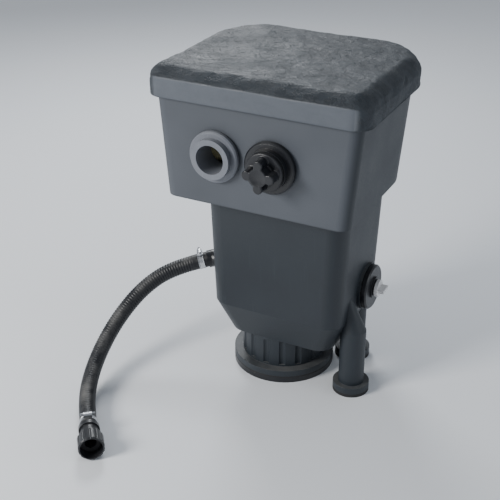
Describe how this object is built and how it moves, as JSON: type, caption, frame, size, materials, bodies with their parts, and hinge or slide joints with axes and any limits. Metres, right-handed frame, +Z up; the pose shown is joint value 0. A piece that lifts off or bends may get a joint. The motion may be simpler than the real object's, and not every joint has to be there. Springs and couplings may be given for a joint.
{
  "type": "pond filter",
  "caption": "Upright open-top pond filter tank with lift-off slate-look lid, foam pad, ribbon media, filter column, bulkhead ports, drain and hose inlet.",
  "frame": {"origin": "on the ground under the middle of the tank, on the underside of the sump cap", "axes": "+Z up, -Y towards the front with the port panel, +X to the right as seen from the front"},
  "size_m": [0.5994, 0.7543, 0.7265],
  "materials": {
    "tank": "moulded, fine satin grain",
    "lid": "moulded slate relief, matte",
    "black_fitting": "moulded, semi-matte",
    "grey_fitting": "moulded, satin",
    "white_pvc": "smooth",
    "rubber": "matte",
    "steel": "brushed",
    "hose": "ribbed, satin",
    "grate": "moulded, matte",
    "mat": "fibre mat",
    "ribbon": "loose plastic ribbon",
    "foam": "open-cell foam"
  },
  "bodies": {
    "root": {"tank_shell": "tank", "sump_cap": "black_fitting", "sump_seal": "rubber", "sump_screws": "steel", "foot_pads": "rubber", "discharge_bulkhead": "grey_fitting", "discharge_gasket": "rubber", "discharge_nut": "black_fitting", "plugged_port_bulkhead": "black_fitting", "plugged_port_gasket": "rubber", "plugged_port_nut": "black_fitting", "outlet_bulkhead": "black_fitting", "outlet_gasket": "rubber", "outlet_nut": "black_fitting", "outlet_elbow": "white_pvc", "inlet_bulkhead": "black_fitting", "inlet_gasket": "rubber", "inlet_nut": "black_fitting", "drain_bulkhead": "black_fitting", "drain_gasket": "rubber", "drain_nut": "black_fitting", "hose": "hose", "inlet_barb": "black_fitting", "inlet_clamp_band": "steel", "inlet_clamp_screw": "steel", "coupling_clamp_band": "steel", "coupling_clamp_screw": "steel", "hose_coupling": "black_fitting", "union_washer": "rubber"},
    "grate": {"grate": "grate"},
    "column": {"column_collar": "black_fitting", "column_frame": "black_fitting", "column_mats": "mat", "column_cap": "black_fitting"},
    "media": {"ribbon_media": "ribbon"},
    "foam": {"foam_pad": "foam"},
    "posts": {"hold_down_posts": "black_fitting", "post_tips": "rubber"},
    "lid": {"lid": "lid", "lid_seal": "rubber"},
    "port_ring": {"port_plug_ring": "rubber"},
    "port_plug": {"port_plug": "black_fitting"},
    "drain_ring": {"drain_plug_ring": "rubber"},
    "drain_plug": {"drain_plug": "white_pvc"},
    "union_nut": {"union_nut": "black_fitting"}
  },
  "joints": [
    {"name": "grate_lift", "type": "slide", "parent": "root", "child": "grate", "axis": [0, 0, 1], "range_m": [0, 0.56]},
    {"name": "column_lift", "type": "slide", "parent": "grate", "child": "column", "axis": [0, 0, 1], "range_m": [0, 0.54]},
    {"name": "media_lift", "type": "slide", "parent": "column", "child": "media", "axis": [0, 0, 1], "range_m": [0, 0.54]},
    {"name": "foam_lift", "type": "slide", "parent": "media", "child": "foam", "axis": [0, 0, 1], "range_m": [0, 0.18]},
    {"name": "posts_lift", "type": "slide", "parent": "foam", "child": "posts", "axis": [0, 0, 1], "range_m": [0, 0.12]},
    {"name": "lid_lift", "type": "slide", "parent": "posts", "child": "lid", "axis": [0, 0, 1], "range_m": [0, 0.12]},
    {"name": "port_plug_travel", "type": "slide", "parent": "root", "child": "port_ring", "axis": [0, -1, 0], "range_m": [0, 0.0152]},
    {"name": "port_plug_turn", "type": "hinge", "parent": "port_ring", "child": "port_plug", "pos_m": [0.04, -0.213, 0.556], "axis": [0, -1, 0], "range_deg": [0, 1800]},
    {"name": "drain_plug_travel", "type": "slide", "parent": "root", "child": "drain_ring", "axis": [1, 0, 0], "range_m": [0, 0.0152]},
    {"name": "drain_plug_turn", "type": "hinge", "parent": "drain_ring", "child": "drain_plug", "pos_m": [0.192, 0.03, 0.216], "axis": [1, 0, 0], "range_deg": [0, 1800]},
    {"name": "union_nut_spin", "type": "hinge", "parent": "root", "child": "union_nut", "pos_m": [-0.19525, -0.51719, 0.02917], "axis": [0.6284, -0.7752, 0.0641], "continuous": true}
  ],
  "couplings": [
    {"joint": "port_plug_travel", "follows": "port_plug_turn", "m_per_rad": 0.00047746},
    {"joint": "drain_plug_travel", "follows": "drain_plug_turn", "m_per_rad": 0.00047746}
  ]
}
